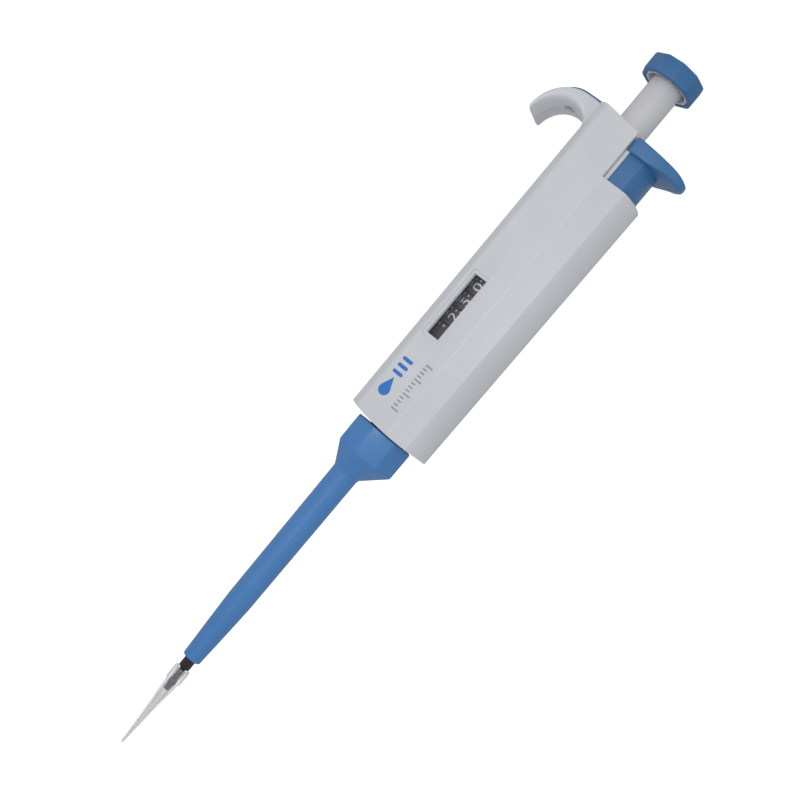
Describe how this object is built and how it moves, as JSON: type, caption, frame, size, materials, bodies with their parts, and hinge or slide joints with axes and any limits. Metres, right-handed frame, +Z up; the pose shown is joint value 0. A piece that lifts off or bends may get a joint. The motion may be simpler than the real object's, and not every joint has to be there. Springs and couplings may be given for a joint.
{
  "type": "single-channel micropipette",
  "caption": "Hand-held variable-volume piston micropipette with push button, thumb ejector, finger hook, volume window and a clear tip fitted.",
  "frame": {"origin": "centre of the nozzle's end, on the plunger axis", "axes": "+Z up the plunger axis towards the push button, +X towards the thumb ejector, -Y through the volume window"},
  "size_m": [0.0534, 0.0216, 0.2623],
  "materials": {
    "white_casing": "fine satin moulded",
    "white_stem": "satin turned",
    "blue_plastic": "fine satin moulded",
    "button_blue": "satin moulded",
    "nozzle_black": "smooth moulded",
    "clear_tip": "clear polypropylene",
    "clear_lens": "clear polished",
    "drum_dark": "matt, printed",
    "inner_plastic": "moulded",
    "steel": "turned",
    "spring_steel": "drawn wire",
    "brass": "turned",
    "seal_rubber": "matt",
    "seal_white": "smooth"
  },
  "bodies": {
    "handle": {"rear_casing": "white_casing", "front_cover": "white_casing", "window_lens": "clear_lens", "finger_hook": "white_casing", "hook_cap": "blue_plastic", "end_plate": "white_casing", "top_bushing": "inner_plastic", "click_ring": "inner_plastic", "calibration_nut": "brass", "counter_frame": "inner_plastic", "counter_blank": "drum_dark", "pinion_shaft": "steel", "spring_bracket": "inner_plastic", "nozzle_shaft": "nozzle_black", "nozzle_ring": "seal_rubber", "shaft_nut": "steel", "seal_retainer": "inner_plastic", "seal_oring": "seal_rubber", "piston_seal": "seal_white", "plunger_spring": "spring_steel", "blowout_spring": "spring_steel", "ejector_spring": "spring_steel"},
    "plunger": {"piston": "steel", "piston_head": "steel"},
    "dial": {"button_cap": "button_blue", "button_liner": "white_stem", "plunger_stem": "white_stem", "setting_spindle": "steel"},
    "fast_drum": {"drive_collar": "inner_plastic", "drum_hundredths": "drum_dark"},
    "tenths_drum": {"drum_tenths": "drum_dark"},
    "units_drum": {"drum_units": "drum_dark"},
    "upper_pinion": {"transfer_pinion_upper": "inner_plastic"},
    "lower_pinion": {"transfer_pinion_lower": "inner_plastic"},
    "volume_stop": {"stop_nut": "inner_plastic"},
    "first_stop": {"first_stop_ring": "steel"},
    "ejector": {"ejector_button": "blue_plastic", "ejector_rod": "steel", "rod_clip": "steel", "ejector_sleeve": "blue_plastic"},
    "fitted_tip": {"tip": "clear_tip"}
  },
  "joints": [
    {"name": "plunger_slide", "type": "slide", "parent": "handle", "child": "plunger", "axis": [0, 0, -1], "range_m": [0, 0.012], "stiffness_N_per_m": 250, "springref_m": -0.008, "deforming": ["plunger_spring"]},
    {"name": "volume_dial", "type": "hinge", "parent": "plunger", "child": "dial", "pos_m": [0, 0, 0.2], "axis": [0, 0, 1], "range_deg": [-1728, 0]},
    {"name": "fast_drum_turn", "type": "hinge", "parent": "handle", "child": "fast_drum", "pos_m": [0, 0, 0.15], "axis": [0, 0, 1], "range_deg": [-1728, 0]},
    {"name": "tenths_drum_turn", "type": "hinge", "parent": "handle", "child": "tenths_drum", "pos_m": [0, 0, 0.146], "axis": [0, 0, 1], "range_deg": [-864, 0]},
    {"name": "units_drum_turn", "type": "hinge", "parent": "handle", "child": "units_drum", "pos_m": [0, 0, 0.141], "axis": [0, 0, 1], "range_deg": [-86.4, 0]},
    {"name": "upper_pinion_turn", "type": "hinge", "parent": "handle", "child": "upper_pinion", "pos_m": [0.0084, 0.0059, 0.149], "axis": [0, 0, 1], "range_deg": [0, 2160]},
    {"name": "lower_pinion_turn", "type": "hinge", "parent": "handle", "child": "lower_pinion", "pos_m": [0.0084, 0.0059, 0.143], "axis": [0, 0, 1], "range_deg": [0, 216]},
    {"name": "volume_stop_slide", "type": "slide", "parent": "handle", "child": "volume_stop", "axis": [0, 0, -1], "range_m": [0, 0.0048]},
    {"name": "first_stop_slide", "type": "slide", "parent": "handle", "child": "first_stop", "axis": [0, 0, -1], "range_m": [0, 0.003], "deforming": ["blowout_spring"]},
    {"name": "ejector_slide", "type": "slide", "parent": "handle", "child": "ejector", "axis": [0, 0, -1], "range_m": [0, 0.009], "stiffness_N_per_m": 200, "springref_m": -0.006, "deforming": ["ejector_spring"]},
    {"name": "tip_slide", "type": "slide", "parent": "handle", "child": "fitted_tip", "axis": [0, 0, -1], "range_m": [0, 0.0053]}
  ],
  "couplings": [
    {"joint": "fast_drum_turn", "follows": "volume_dial", "ratio": 1},
    {"joint": "tenths_drum_turn", "follows": "volume_dial", "ratio": 0.5},
    {"joint": "units_drum_turn", "follows": "volume_dial", "ratio": 0.05},
    {"joint": "upper_pinion_turn", "follows": "volume_dial", "ratio": -1.25},
    {"joint": "lower_pinion_turn", "follows": "volume_dial", "ratio": -0.125},
    {"joint": "volume_stop_slide", "follows": "volume_dial", "m_per_rad": -0.00015915},
    {"joint": "first_stop_slide", "follows": "plunger_slide", "ratio": 0.25},
    {"joint": "tip_slide", "follows": "ejector_slide", "ratio": 0.5888}
  ]
}
